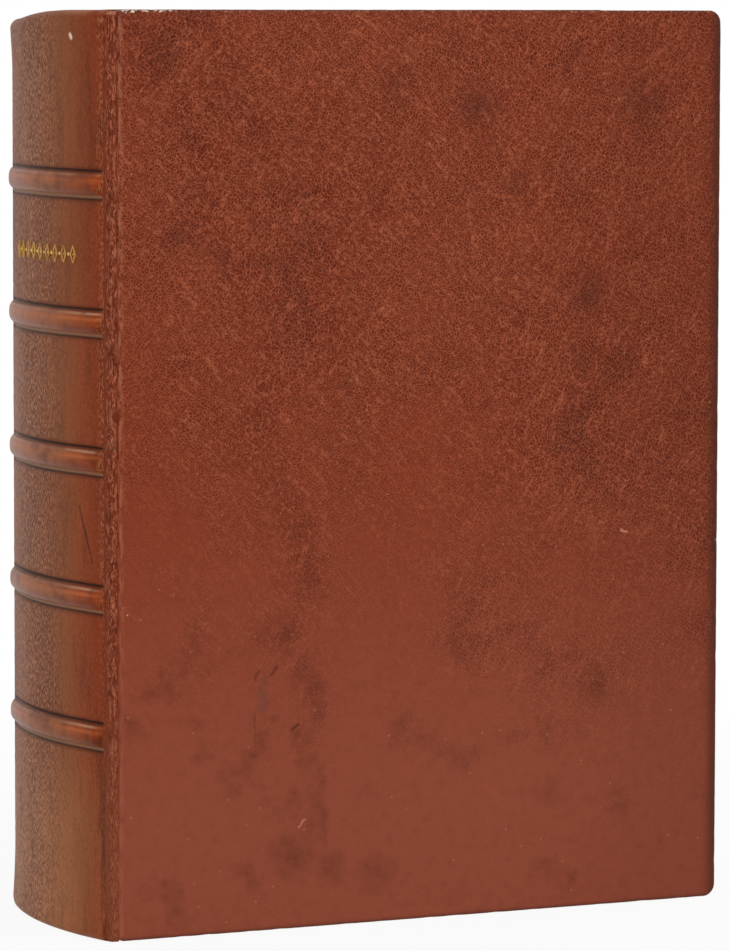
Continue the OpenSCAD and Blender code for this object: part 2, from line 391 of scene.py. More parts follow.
def makeCoverSkin():
    look = skinLook
    skin = Finish("coverGoatskin", {"Specular IOR Level": 0.12,
                                    "Specular Tint": look["tint"]})
    x, y, z = skin.place.split()
    front = y.smooth(*look["frontY"])
    ragged = skin.sway(skin.place, 520, 2, 0.6)
    skin.flat = skin.vector(x, z) + ragged * (1.6 * mm)
    # slanted, so that the pattern also runs on over the edges of the boards
    slant = skin.vector(x - y * 0.7, z + y * 0.6)

    # patterns from large to small: drift, patch, cloud, fray
    skin.dimensions = "2D"
    bent = slant + skin.sway(slant, 60, 1) * (4 * mm) + ragged * (0.3 * mm)
    drift = skin.noise(slant, 17, 2)
    patch = skin.noise(slant, 62, 3, 0.6)
    cloud = skin.noise(slant, 300, 3, 0.62)
    fray = skin.noise(slant, 900, 2, 0.6)

    def run(degrees, narrow, finer):
        # cells, dashes and wrinkles that run one way
        way = skin.turned(bent, degrees, narrow)
        return (skin.cells(way * (1.6, 1.0, 1.0), look["cellScale"] * finer),
                skin.noise(way, look["dashScale"], 2, 0.55),
                strip(skin.noise(way * (0.5, 1.0, 1.0), look["wrinkleScale"], 1), 0.5, 0.030))

    upCells, upDashes, upWrinkles = run(*look["up"])
    downCells, downDashes, downWrinkles = run(*look["down"])
    lean = (drift + x * 2.6).smooth(0.38, 0.60)     # 1 where the grain runs up
    fine = upCells * lean + downCells * (1.0 - lean)
    dashes = strip(upDashes * lean + downDashes * (1.0 - lean), 0.5, 0.050)
    wrinkles = largest(upWrinkles * (0.4 + 0.6 * lean), downWrinkles * (1.0 - 0.85 * lean))

    # the grain is strong over the upper half and the fore-edge side, and polished below
    reach = z + x * 0.28 + (drift - 0.5) * 0.10 + (patch - 0.5) * 0.05
    strong = reach.smooth(*look["polished"])
    grain = 0.06 + 0.94 * strong
    frayed = fray.smooth(0.60, 0.40)
    pits = (fine.smooth(0.02, 0.28) * 0.84 + 0.24 * (1.0 - dashes)) * (0.40 + 0.95 * patch) * grain
    crests = largest(fine.smooth(0.13, 0.0) * 0.84, dashes * 0.66) * (0.45 + 0.55 * frayed) * grain
    wrinkles = wrinkles * (0.35 + 0.65 * frayed) * (0.12 + 0.88 * strong)
    edgeShade = x.smooth(20 * mm, foreEdge) * 0.20 + x.smooth(foreEdge - 6 * mm, foreEdge) * 0.26
    colour = coated(mix(z.smooth(20 * mm, 140 * mm), look["low"], look["base"]),
                    ((drift - 0.42) * 0.55 * strong, look["pit"]),
                    (pits * look["pits"], look["pit"]),
                    (crests * look["crests"], look["crest"]),
                    (wrinkles * look["wrinkles"], look["crest"]),
                    ((cloud - 0.44) * 0.40, look["pit"]),
                    (edgeShade, look["pit"]))

    # blotches: a scatter over both covers, then the ones of the front
    rough = 0.2 + 1.6 * cloud
    stain = (patch * 0.6 + drift * 0.4).smooth(0.545, 0.70) * 0.30 * rough
    for sx, sz, radius, strength in look["stains"]:
        stain = largest(stain, skin.spot(sx, sz, radius, 0.9) * front * rough * strength)
    for mark in look["scratches"]:
        stain = largest(stain, skin.scratch(*mark) * front * rough * 0.6)
    for mark in look["scuffs"]:
        grey = skin.scratch(*mark) * front * cloud.smooth(0.30, 0.62)
        colour = mix(grey * 0.4, colour, look["scuff"])
    ends = largest(z.smooth(1.4 * mm, 0.2 * mm), z.smooth(height - 1.2 * mm, height))
    rim = largest(x.smooth(foreEdge - look["rimWidth"], foreEdge - 0.7 * mm), ends * 0.7)
    colour = coated(colour, (stain * 0.75, look["stain"]), (rim * 0.68, look["rim"]))

    # light specks, light marks, the worn side by the joint, and a painted highlight along the head
    # edge
    light = skin.cells(slant, 90, "F1").smooth(0.034, 0.012) * patch.smooth(0.48, 0.56) * 0.5
    for mark in look["marks"]:
        light = largest(light, skin.scratch(*mark) * front * 0.9)
    streak = skin.noise(slant * (1.0, 0.22, 1.0), 1000, 2)
    ridge = x.smooth(hingeX + 3.4 * mm, hingeX + 1.7 * mm) * streak.smooth(0.40, 0.60)
    # head: a painted highlight along the top edge of the board, drawn in the worn colour
    head = z.smooth(height - 0.9 * mm, height - 0.3 * mm) * fray.smooth(0.55, 0.66)
    light = largest(light, ridge * (0.16 + 0.30 * z.smooth(40 * mm, 140 * mm)), head * 0.8)
    colour = mix(light, colour, look["worn"])
    # a light speck and painted highlights along the top edge of the front
    for mark in look["glints"]:
        glint = skin.scratch(*mark) * front * fray.smooth(0.36, 0.56)
        colour = mix(glint, colour, look["glint"])
    skin.set("Base Color", colour)

    relief = wrinkles * 0.8 - fine.smooth(0.0, 0.30) * grain + cloud * 0.5
    skin.bump(relief, look["grainDepth"], 0.55)
    skin.set("Roughness", 0.50 + 0.08 * strong + 0.14 * (patch - 0.5))
    return skin.material


spineLook = {
    "base": srgb(144, 57, 26),
    "side": srgb(146, 82, 45),      # the rear half: faded, with a painted grazing sheen
    "tail": srgb(184, 120, 78),
    "band": srgb(154, 62, 23),
    # bandSide: the rear half of each band, paler with a painted grazing sheen
    "bandSide": srgb(164, 92, 52),
    # crown: a painted highlight on the upper slope of each band
    "crown": srgb(220, 120, 62),
    "gleam": srgb(240, 190, 150),
    "line": srgb(34, 22, 17),
    # foot: painted sheen on the slope under each band
    "foot": srgb(144, 110, 82),
    "dark": srgb(84, 38, 22),
    # fleck: light grain flecks, stronger towards the rear as painted sparkle of grazing light
    "fleck": srgb(186, 138, 108),
    "worn": srgb(200, 134, 94),
    "nick": srgb(240, 218, 186),
    "threadDepth": 0.16 * mm,
    # heights above the middle of a band
    "lineOffset": 3.55 * mm, "lineWidth": 0.44 * mm,
    "footOffset": -2.95 * mm, "crownOffset": 1.1 * mm, "gleamOffset": 2.45 * mm,
    "lineEnd": (30.6 * mm, 29.8 * mm),
    # from, to (y, height) and half width
    "nicks": [((-0.0181, 0.2252), (-0.0177, 0.2258), 0.0009)],
    "scratches": [((-0.0205, 0.1085), (-0.0262, 0.0945), 0.00045)],
}


def makeSpineSkin():
    look = spineLook
    skin = Finish("spineGoatskin", {"Specular IOR Level": 0.06, "Coat Roughness": 0.28,
                                    "Coat IOR": 1.3, "Specular Tint": skinLook["tint"]})
    place = skin.place
    y, z = place.split()[1:]
    streak = skin.noise(place * (1.0, 1.0, 0.16), 330, 3, 0.55)
    patch = skin.noise(place * (1.0, 1.0, 0.35), 60, 3, 0.6)
    thread = skin.noise(place * (1.0, 1.0, 0.40), 2500, 2, 0.65)
    blotch = skin.noise(place * (1.0, 0.5, 1.0), 210, 3, 0.6)

    # masks of the raised bands and their lines
    bottom, top = bandHeights[0], bandHeights[-1]
    among = z.smooth(bottom - 8 * mm, bottom - 6 * mm) * z.smooth(top + 8 * mm, top + 6 * mm)
    inside = abs(y).smooth(*look["lineEnd"]) * among
    half = binding["bandPitch"] / 2
    rise = combine("WRAP", z - bottom, half, -half)     # height above the nearest band
    rise = rise + (patch - 0.5) * 0.4 * mm
    away = abs(rise)
    offset, width = look["lineOffset"], look["lineWidth"]
    band = strip(rise, binding["bandShift"], binding["bandWidth"] * 0.52,
                 binding["bandWidth"] * 0.44) * inside
    line = strip(away, offset, width, width * 0.3) * inside
    shade = strip(away, offset, 1.5 * mm, 0.3 * mm) * inside
    # foot: painted sheen on the slope under each band
    foot = strip(rise, look["footOffset"], 0.55 * mm, 0.25 * mm) * inside
    # crown: painted highlight on the upper slope of each band
    crown = strip(rise, look["crownOffset"], 0.8 * mm) * (0.35 + 0.65 * patch.smooth(0.60, 0.40))
    # under: painted shade on the lower half of each band
    under = rise.smooth(0.6 * mm, -1.8 * mm) * band
    gleam = strip(rise, look["gleamOffset"], 0.45 * mm, 0.10 * mm) * patch.smooth(0.62, 0.44)

    # rubbed and warm are 1 towards the rear joint, where the colour carries a painted grazing sheen
    # and the grain a painted sparkle; side is 1 next to both joints
    rubbed = (y + patch * 0.010).smooth(-12 * mm, 8 * mm)
    warm = (y + patch * 0.010).smooth(-26 * mm, -6 * mm)
    side = (abs(y) + (patch - 0.5) * 4 * mm).smooth(27.6 * mm, 30.6 * mm)
    flecks = thread.smooth(0.50, 0.40) * (0.10 + 0.34 * z.smooth(50 * mm, 120 * mm))
    colour = coated(mix(warm, look["base"], look["side"]),
                    (z.smooth(56 * mm, 26 * mm) * (0.24 + 0.38 * warm), look["tail"]),
                    ((patch - 0.40) * 1.1, look["dark"]),
                    (streak.smooth(0.47, 0.72) * 0.34, look["dark"]),
                    # grain threads, with painted sparkle of grazing light stronger towards the rear
                    (thread.smooth(0.49, 0.58) * (0.18 + 0.58 * rubbed), look["dark"]),
                    (thread.smooth(0.48, 0.40) * (0.08 + 0.58 * rubbed), look["fleck"]),
                    (band * 0.85, mix(warm, look["band"], look["bandSide"])),
                    (band * blotch.smooth(0.42, 0.70) * 0.55, look["dark"]),
                    (band * streak.smooth(0.45, 0.70) * 0.25, look["dark"]),
                    (crown * inside * (0.46 - 0.22 * warm), look["crown"]),
                    (under * (0.50 - 0.20 * warm), look["dark"]),
                    (side * streak.smooth(0.50, 0.62) * 0.5, look["dark"]),
                    (side * flecks, look["worn"]),
                    (shade * 0.40, look["dark"]),
                    (foot * 0.60, look["foot"]),
                    (gleam * inside * (0.44 - 0.36 * warm), look["gleam"]),
                    (line * (0.62 + 0.26 * rise.smooth(-1 * mm, 1 * mm)), look["line"]))

    skin.flat = skin.vector(y, z)
    for mark in look["scratches"]:
        colour = mix(skin.scratch(*mark) * streak * 1.3, colour, look["line"])
    caps = largest(z.smooth(1.8 * mm, 0.2 * mm), z.smooth(height - 1.8 * mm, height - 0.2 * mm))
    colour = mix(caps * patch.smooth(0.44, 0.62) * 0.45, colour, look["worn"])
    for mark in look["nicks"]:
        colour = mix(skin.scratch(*mark) * 0.9, colour, look["nick"])
    skin.set("Base Color", colour)

    relief = streak * 0.5 + thread * 0.6
    skin.bump(relief * (1.0 - band * 0.8), look["threadDepth"], 0.6)
    skin.set("Roughness", 0.46 - band * 0.12 + (patch - 0.5) * 0.15)
    skin.set("Coat Weight", band * 0.12)
    return skin.material


jointLook = {
    "inner": srgb(134, 59, 33),     # beside the spine
    "outer": srgb(136, 59, 37),
    "low": srgb(152, 82, 58),
    "ridge": srgb(202, 120, 88),
    "bare": srgb(205, 136, 104),
    "crack": srgb(84, 36, 24),
    "crease": srgb(80, 34, 23),
    "tip": srgb(216, 146, 122),
    "edge": (30.7 * mm, 31.9 * mm),     # the worn part begins between these
    "depth": 0.25 * mm,
}


def makeJointSkin():
    look = jointLook
    skin = Finish("jointGoatskin", {"Roughness": 0.6, "Specular IOR Level": 0.10,
                                    "Specular Tint": skinLook["tint"]})
    y, z = skin.place.split()[1:]
    # 0 on the spine side, 1 on the roll; the worn part is narrower near the foot
    blotch = skin.noise(skin.place, 130, 3)
    edge = abs(y) - z.smooth(120 * mm, 10 * mm) * 0.8 * mm + (blotch - 0.5) * 3.0 * mm
    outward = edge.smooth(*look["edge"])
    worn = outward * (0.45 + 0.55 * z.smooth(15 * mm, 90 * mm))
    bent = skin.place + skin.sway(skin.place, 300, 1) * (2 * mm)
    streak = skin.noise(bent * (1.0, 1.0, 0.17), 2300, 3, 0.65)
    cracks = skin.cells(bent * (1.0, 1.0, 0.34), 1900)
    tip = z.smooth(height - 1.5 * mm, height - 0.7 * mm) * outward
    skin.set("Base Color", coated(
        mix(outward, look["inner"], look["outer"]),
        (z.smooth(90 * mm, 10 * mm) * 0.6, look["low"]),
        (worn * streak.smooth(0.48, 0.60) * 0.66, look["ridge"]),
        (worn * blotch.smooth(0.58, 0.70) * 0.30, look["bare"]),
        (worn * cracks.smooth(0.10, 0.0) * blotch.smooth(0.35, 0.55) * 0.65, look["crack"]),
        (worn * streak.smooth(0.46, 0.36) * 0.72, look["crease"]),
        (tip * 0.50, look["tip"])))
    skin.bump(streak + cracks.smooth(0.0, 0.2) * 0.8, look["depth"], 0.9)
    return skin.material


boardLook = {
    "fibre": (srgb(120, 106, 86), srgb(168, 152, 124)),
    "layer": srgb(96, 82, 64),
}


def makeMillboard():
    board = Finish("millboard", {"Specular IOR Level": 0.2})
    fibre = board.noise(board.place, 1400, 3, 0.65)
    layer = board.noise(board.place * (0.05, 1.0, 0.05), 2400, 1)
    colour = mix(fibre, *boardLook["fibre"])
    board.set("Base Color", mix(layer * 0.4, colour, boardLook["layer"]))
    board.set("Roughness", 0.82 + 0.1 * fibre)
    board.bump(fibre, 0.08 * mm, 0.6)
    return board.material


coverSkin = makeCoverSkin()
spineSkin = makeSpineSkin()
jointSkin = makeJointSkin()
millboard = makeMillboard()
print("leather finishes made")


# covers: a leather skin on each board, turned in round its edges
coverShape = {
    "edgeR": 0.8 * mm,
    "cornerR": 3.3 * mm,        # fore-edge corners
    "turnIn": 17.0 * mm,
    "skin": 0.6 * mm,           # thickness of the leather
    "cell": 1.25 * mm,          # size of the mesh
    # columns of the mesh beside the joint, from where the cover starts
    "nearJoint": [d * mm for d in (0, 0.1, 0.2, 0.32, 0.45, 0.65, 0.9, 1.15, 1.4, 1.7, 2.1)],
    # the crease and the ridge along the joint, placed from its axis
    "creaseX": 1.30 * mm,
    "creaseWidth": 0.45 * mm,
    "ridgeX": 2.7 * mm,
    "ridgeWidth": 0.35 * mm,
    "creaseDepth": 0.50 * mm,
    "ridgeDepth": 0.07 * mm,
    "wave": 0.14 * mm,          # unevenness of the covered board
    "flatRim": 6 * mm,          # no waves nearer to the edge
    "nibble": 0.16 * mm,        # small losses along the edges
    # depth and run of the slanted corners beside the front and rear joints
    "headCut": {-1: (0.45 * mm, 3.2 * mm), 1: (3.0 * mm, 26.0 * mm)},
    "tailCut": (0.8 * mm, 1.6 * mm),
}


def trimmed(x, z, side):
    # brings the height of a point in, where a board's corner is cut beside the joint
    deep, run = coverShape["headCut"][side] if z > height / 2 else coverShape["tailCut"]
    along = min(1, max(0, (x - hingeX - coverShape["creaseX"]) / run))
    return height / 2 + (z - height / 2) * (1 - 2 * deep * (1 - along) ** 2 / height)


def edgeProfile(edgeR, thick, turnIn):
    # (inset from the outline, depth under the outer face) round the board's edge
    turn = [math.radians(a) for a in (18, 36, 54, 72, 90)]
    profile = [(edgeR * (1 - math.sin(a)), edgeR * (1 - math.cos(a))) for a in turn]
    profile += [(0, d) for d in steps(edgeR, thick - edgeR, 1.0 * mm)[1:]]
    profile += [(edgeR * (1 - math.cos(a)), thick - edgeR * (1 - math.sin(a))) for a in turn]
    profile += [(i, thick) for i in steps(edgeR, turnIn, 3.0 * mm)[1:]]
    return profile


def fullness(z):
    # the crease of the joints gets shallow near the foot
    return 0.35 + 0.65 * ramp(z, 8 * mm, 60 * mm)


def creaseDepth(dx, z):
    s = coverShape
    groove = 1 - ramp(dx, s["creaseX"], s["creaseX"] + s["creaseWidth"])
    groove *= s["creaseDepth"] * fullness(z)
    return groove + s["ridgeDepth"] * math.exp(-((dx - s["ridgeX"]) / s["ridgeWidth"]) ** 2)


def makeCover(name, side):
    s = coverShape
    edge, corner = s["edgeR"], s["cornerR"] - s["edgeR"]
    startX = hingeX + s["creaseX"]
    x1, z0, z1 = foreEdge - edge, edge, height - edge
    xs = [startX + d for d in s["nearJoint"]]
    xs += steps(xs[-1], x1 - corner, s["cell"])[1:]
    xs += steps(x1 - corner, x1, corner / 4)[1:]
    zs = steps(z0, z0 + corner, corner / 4)
    zs += steps(z0 + corner, z1 - corner, s["cell"])[1:]
    zs += steps(z1 - corner, z1, corner / 4)[1:]
    cols, rows = len(xs), len(zs)

    def index(i, j):
        return i * rows + j

    def place(i, j):
        # rounds the two fore-edge corners of the grid
        x, z = xs[i], zs[j]
        up = 1 if z > height / 2 else -1
        cx, cz = x1 - corner, z1 - corner if up > 0 else z0 + corner
        a, b = (x - cx) / corner, (z - cz) / corner * up
        if a <= 0 or b <= 0:
            return x, z, None
        angle = b / a * math.pi / 4 if a >= b else math.pi / 2 - a / b * math.pi / 4
        reach = max(a, b) * corner
        way = (math.cos(angle), math.sin(angle) * up)
        return cx + reach * way[0], cz + reach * way[1], way

    def lumps(x, z):
        spot = Vector((x, z, side * 0.05))
        wave = s["wave"] * (0.5 + 0.5 * noise.noise(spot * 38))
        return wave * 0.8 + s["wave"] * 0.3 * (0.5 + 0.5 * noise.noise(spot * 190))

    def onEdge(i, j, x, z, way, inset, inn):
        # where the profile crosses the edge, inn being the inset with its small losses
        up = 1 if z > height / 2 else -1
        if way:
            out = s["cornerR"] - inn
            cz = height - s["cornerR"] if up > 0 else s["cornerR"]
            return (foreEdge - s["cornerR"] + (way[0] * out if out > 0 else out),
                    cz + (way[1] * out if out > 0 else out * up))
        if j in (0, rows - 1) and i < cols - 1:
            return min(x, foreEdge - inset), inn if j == 0 else height - inn
        return foreEdge - inn, min(max(z, inset), height - inset)

    points, faces = [], []
    for i in range(cols):
        for j in range(rows):
            x, z, way = place(i, j)
            inner = ramp(min(foreEdge - x, z, height - z), edge, s["flatRim"])
            depth = creaseDepth(x - hingeX, z) + lumps(x, z) * inner
            points.append((x, -halfThick + depth, z))
    for i in range(cols - 1):
        for j in range(rows - 1):
            faces.append((index(i, j), index(i + 1, j), index(i + 1, j + 1), index(i, j + 1)))

    # the edge and the turn-in, along the foot, up the fore-edge and back along the head
    path = [(i, 0) for i in range(cols)] + [(cols - 1, j) for j in range(1, rows)]
    path += [(i, rows - 1) for i in range(cols - 2, -1, -1)]
    profile = edgeProfile(edge, coverThick, s["turnIn"])
    previous = None
    for i, j in path:
        x, z, way = place(i, j)
        sag = creaseDepth(x - hingeX, z)
        column = [index(i, j)]
        for inset, depth in profile:
            nib = s["nibble"] * max(0, noise.noise(Vector((x, z, side)) * 260))
            nib *= ramp(inset, 2 * mm, 0)
            px, pz = onEdge(i, j, x, z, way, inset, inset + nib)
            column.append(len(points))
            points.append((px, -halfThick + depth + sag * ramp(depth, coverThick / 2, 0), pz))
        if previous:
            for k in range(len(column) - 1):
                faces.append((previous[k], previous[k + 1], column[k + 1], column[k]))
        previous = column

    points = [(x, y, trimmed(x, z, side)) for x, y, z in points]
    if side > 0:
        points = [(x, -y, z) for x, y, z in points]
        faces = [f[::-1] for f in faces]
    piece = newPiece(name, points, faces, coverSkin)
    cleanMesh(piece, outward=False)
    solid = piece.modifiers.new("thickness", "SOLIDIFY")
    solid.thickness = s["skin"]
    solid.offset = -1
    solid.use_even_offset = True
    solid.use_rim = True
    bakeModifiers(piece)
    return piece


boardShape = {
    "cover": 0.75 * mm,         # leather over its cut corners
    "turn": 2.2 * mm,           # fore-edge corners
    "bevel": 0.3 * mm,
    "cell": 1.5 * mm,
}


def makeBoard(name, node, side):
    # the millboard under the leather, with its corners slanted beside the joint
    low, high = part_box(node)
    cover, turn, bevel = boardShape["cover"], boardShape["turn"], boardShape["bevel"]

    def outline(inset):
        rows = []
        for up, z in ((-1, low.z + inset), (1, high.z - inset)):
            row = []
            for x in steps(low.x + 0.05 * mm, high.x - turn, boardShape["cell"]):
                edge = trimmed(x, height if up > 0 else 0, side)
                row.append((x, min(z, edge - cover) if up > 0 else max(z, edge + cover)))
            out = turn - inset
            for angle in steps(0, math.pi / 2, 0.3)[1:]:
                row.append((high.x - turn + out * math.sin(angle),
                            z - out * up + out * math.cos(angle) * up))
            rows.append(row)
        return rows[0] + rows[1][::-1]

    levels = ((bevel, low.y), (0.0, low.y + bevel), (0.0, high.y - bevel), (bevel, high.y))
    rings = [[(x, y, z) for x, z in outline(inset)] for inset, y in levels]
    piece = newPiece(name, *loft(rings), millboard)
    cleanMesh(piece, smooth=False)
    return piece


for name, side, node, body in (("frontCoverSkin", -1, "front_leather", "front_cover"),
                               ("rearCoverSkin", 1, "rear_leather", "rear_cover")):
    cover = makeCover(name, side)
    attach(cover, body)
    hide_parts(node)
for name, side, node, body in (("frontBoard", -1, "front_board", "front_cover"),
                               ("rearBoard", 1, "rear_board", "rear_cover")):
    board = makeBoard(name, node, side)
    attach(board, body)
    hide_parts(node)
print("covers made")


# joints: the leather between the spine and each cover
jointShape = {
    "startY": 29.5 * mm,        # hidden in the spine leather
    "freeY": 30.7 * mm,         # comes up flush with the spine here
    "thick": 0.5 * mm,
    "sunk": 0.55 * mm,          # how deep it starts
    "grit": 0.05 * mm,
    "crack": 0.16 * mm,
    "row": 0.9 * mm,            # size of the mesh
    "ends": [d * mm for d in (0, 0.1, 0.3, 0.6, 1.0)],
    # (from the axis, depth) in mm across the crease
    "crease": ((0.55, 0.03), (0.85, 0.10), (1.1, 0.28), (1.3, 0.5), (1.5, 0.62)),
    # how far the front and rear joints end short of the foot and the top
    "tail": {-1: 0.1 * mm, 1: 1.3 * mm},
    "head": {-1: 0.35 * mm, 1: 3.2 * mm},
}


def makeJoint(name, side):
    s = jointShape
    tangent = math.atan2(spineCentre - hingeX, -hingeY)     # from the outward direction
    touchY = halfThick - rollR + rollR * math.cos(tangent)

    def outline(z):
        outer, inner = [], []
        ys = steps(s["startY"], s["freeY"], 0.3 * mm) + steps(s["freeY"], touchY, 0.3 * mm)[1:-1]
        for y in ys:
            sunk = s["sunk"] * (1 - ramp(y, s["startY"], s["freeY"]))
            sunk += s["grit"] * (1 + noise.noise(Vector((y, z * 0.5, side)) * 900))
            outer.append((spineX(spineR - sunk, y), y))
            inner.append((spineX(spineR - s["thick"] - sunk * 0.6, y), y))
        for angle in steps(tangent, -0.15, 0.16):
            spot = Vector((angle * 1.1 * mm, z * 0.32, side)) * 1500
            crack = s["crack"] * (0.5 + 0.7 * noise.noise(spot))
            for row, r in ((outer, rollR - max(0, crack)), (inner, rollR - s["thick"])):
                row.append((hingeX - r * math.sin(angle), -hingeY + r * math.cos(angle)))
        for dx, depth in s["crease"]:
            depth *= fullness(z)
            sway = s["grit"] * noise.noise(Vector((dx, z * 300, side))) * (dx < 1.2)
            outer.append((hingeX + dx * mm, halfThick - depth * mm + sway - 0.03 * mm))
            inner.append((hingeX + dx * mm, halfThick - depth * mm - 0.25 * mm - s["thick"] * 0.2))
        return outer, inner

    tail, head = s["tail"][side], height - s["head"][side]
    zs = [tail + d for d in s["ends"]]
    zs += steps(tail + s["ends"][-1], head - s["ends"][-1], s["row"])[1:-1]
    zs += [head - d for d in s["ends"][::-1]]
    rings = []
    for z in zs:
        outer, inner = outline(z)
        # thinner towards both ends
        shrink = min(0.7, 0.9 * (1 - ramp(min(z - tail, head - z), -0.2 * mm, 1.0 * mm)))
        ring = [(ox + (ix - ox) * shrink, side * (oy + (iy - oy) * shrink), z)
                for (ox, oy), (ix, iy) in zip(outer, inner)]
        rings.append(ring + [(ix, side * iy, z) for ix, iy in inner[::-1]])
    piece = newPiece(name, *loft(rings), jointSkin)
    cleanMesh(piece)
    return piece


for name, side, body in (("frontJointSkin", -1, "front_cover"), ("rearJointSkin", 1, "rear_cover")):
    joint = makeJoint(name, side)
    hingeX - rollR * 0.95
    side * -hingeY
    hingeX + rollR * 0.4
    side * -hingeY
    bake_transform(joint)
print("joints made")


# spine leather, with raised bands and rolled caps
spineShape = {
    "edgeY": 30.85 * mm,
    "thick": 1.0 * mm,
    "flare": 0.8 * mm,
    "flareZ": 25 * mm,
    "capT": 1.0 * mm,
    "headR": 2.5 * mm,          # rounding of the two caps
    "headGrow": 0.5 * mm,       # the headcap is rounder towards the rear
    "tailR": 1.6 * mm,
    "capReach": 4.4 * mm,       # how far the caps reach in over the endbands
    "lipBack": 1.9 * mm,        # and how much less beside the joints
    "bandStop": 29.9 * mm,
    "crownEven": 0.02 * mm,
    "sag": 0.12 * mm,           # how unevenly a band runs
    "grooveDepth": 0.38 * mm,
    "grooveWidth": 0.50 * mm,
    "wave": 0.06 * mm,
    "headDip": 0.6 * mm,        # the headcap's top goes lower towards the rear
    "headSlope": 1.7 * mm,      # and then all of it
    "headFall": (-2 * mm, 30 * mm),
    "tailSlope": 1.0 * mm,
    "column": 0.85 * mm,        # sizes of the mesh
    "row": 1.6 * mm,
    "bandRow": 0.26 * mm,
    "cord": 1.65 * mm,          # beds of the sewing cords
}


def spineOuter(z, y):
    # radius of the outside of the spine at a height
    s = spineShape
    end = min(z, height - z)
    r = spineR
    if end < s["flareZ"]:
        flareArc = (s["flareZ"] ** 2 + s["flare"] ** 2) / (2 * s["flare"])
        r += flareArc - math.sqrt(flareArc ** 2 - (s["flareZ"] - end) ** 2)
    capR = s["tailR"]
    if z > height / 2:
        capR = s["headR"] + s["headGrow"] * ramp(y, -5 * mm, 20 * mm)
    if end < capR:
        r -= capR - math.sqrt(capR ** 2 - (capR - end) ** 2)
    r -= s["wave"] * (0.5 + 0.5 * noise.noise(Vector((y, z * 0.4, 3)) * 120))
    fade = ramp(abs(y), s["bandStop"] + 0.5 * mm, s["bandStop"] - 1.6 * mm)
    lineFade = ramp(abs(y), s["bandStop"] + 0.9 * mm, s["bandStop"] - 0.3 * mm)
    half = binding["bandWidth"] / 2
    for k, centre in enumerate(bandHeights):
        dz = z - centre - s["sag"] * noise.noise(Vector((y * 60, k * 7.3, 1)))
        body = abs(dz - binding["bandShift"])
        if abs(dz) > half * 2.2:
            continue
        if body < half * 1.12:
            crown = (1 - (body / (half * 1.12)) ** 2.8) ** 0.8
            high = binding["bandHeight"] * (0.97 + 0.03 * noise.noise(Vector((y * 90, k, 5))))
            r += (high - s["crownEven"]) * crown * fade
        for way in (-1, 1):
            off = (dz - way * spineLook["lineOffset"]) / s["grooveWidth"]
            r -= s["grooveDepth"] * math.exp(-off * off * 2) * lineFade
    return r


def makeSpine():
    s = spineShape
    capTurn = [1 - math.cos(math.radians(a)) for a in range(6, 90, 12)]
    outerZ = [s["tailR"] * t for t in capTurn] + [height - s["headR"] * t for t in capTurn]
    outerZ += [z for z in steps(s["tailR"], height - s["headR"], s["row"])
               if all(abs(z - c) > 5.6 * mm for c in bandHeights)]
    for centre in bandHeights:
        outerZ += steps(centre - 5 * mm, centre + 5 * mm, s["bandRow"])
    outerZ.sort()
    ys = steps(-s["edgeY"], s["edgeY"], s["column"])
    ys = sorted(ys + [side * (s["edgeY"] - d * mm) for side in (-1, 1) for d in (0.12, 0.3, 0.55)])
    lip, wall = spineR - s["capReach"], spineR - s["thick"]

    def cordBed(centre, y):
        # the inside gives way to a sewing cord
        for q in (2.2, 1.6, 0.8, 0, -0.8, -1.6, -2.2):
            seat = max(0, (s["cord"] / mm) ** 2 - q * q) ** 0.5 * mm
            seat = max(0, seat - 0.15 * mm) * ramp(abs(y), 28.4 * mm, 27.4 * mm)
            yield spineX(wall + seat, y), y, centre + q * mm

    rings = []
    for y in ys:
        side = s["edgeY"] - abs(y)
        tuck = 0.3 * mm * (1 - math.sqrt(max(0, 1 - (1 - min(1, side / (0.5 * mm))) ** 2)))
        sunk = s["headSlope"] * ramp(y, *s["headFall"])
        dip = s["headDip"] * ramp(y, -16 * mm, 8 * mm) + sunk
        lift = s["tailSlope"] * ramp(y, 27 * mm, 31 * mm)
        ring = []
        for z in outerZ:
            drop = dip * ramp(z, height - 14 * mm, height) - lift * ramp(z, 10 * mm, 0)
            ring.append((spineX(spineOuter(z, y) - tuck, y), y, z - drop))
        # the rolled caps: from the crest in to the lip and back on the inside
        reach = lip + s["lipBack"] * ramp(abs(y), 26.5 * mm, 29.5 * mm)
        crest = min(reach + 1.6 * mm, spineR - 1.92 * mm)
        under = [(reach + 0.45 * mm * (2 * q - 1) ** 2, q * s["capT"])
                 for q in (0.0, 0.12, 0.3, 0.5, 0.7, 0.88, 1.0)]
        roll = [(crest, 0.0)] + under + [(crest, s["capT"])]
        headRoll = [(spineX(r, y), y, height - z - dip + (dip - sunk) * z / s["capT"])
                    for r, z in roll]
        tailRoll = [(spineX(r, y), y, z + lift) for r, z in roll[::-1]]
        inner = [(spineX(wall, y), y, height - s["capT"] - sunk)]
        for centre in bandHeights[::-1]:
            inner += cordBed(centre, y)
        inner.append((spineX(wall, y), y, s["capT"] + lift))
        rings.append(ring + headRoll + inner + tailRoll)
    piece = newPiece("spineSkin", *loft(rings), spineSkin)
    cleanMesh(piece)
    return piece


spine = makeSpine()
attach(spine, "root")
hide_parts("spine_leather")
print("spine made,", len(spine.data.polygons), "faces")


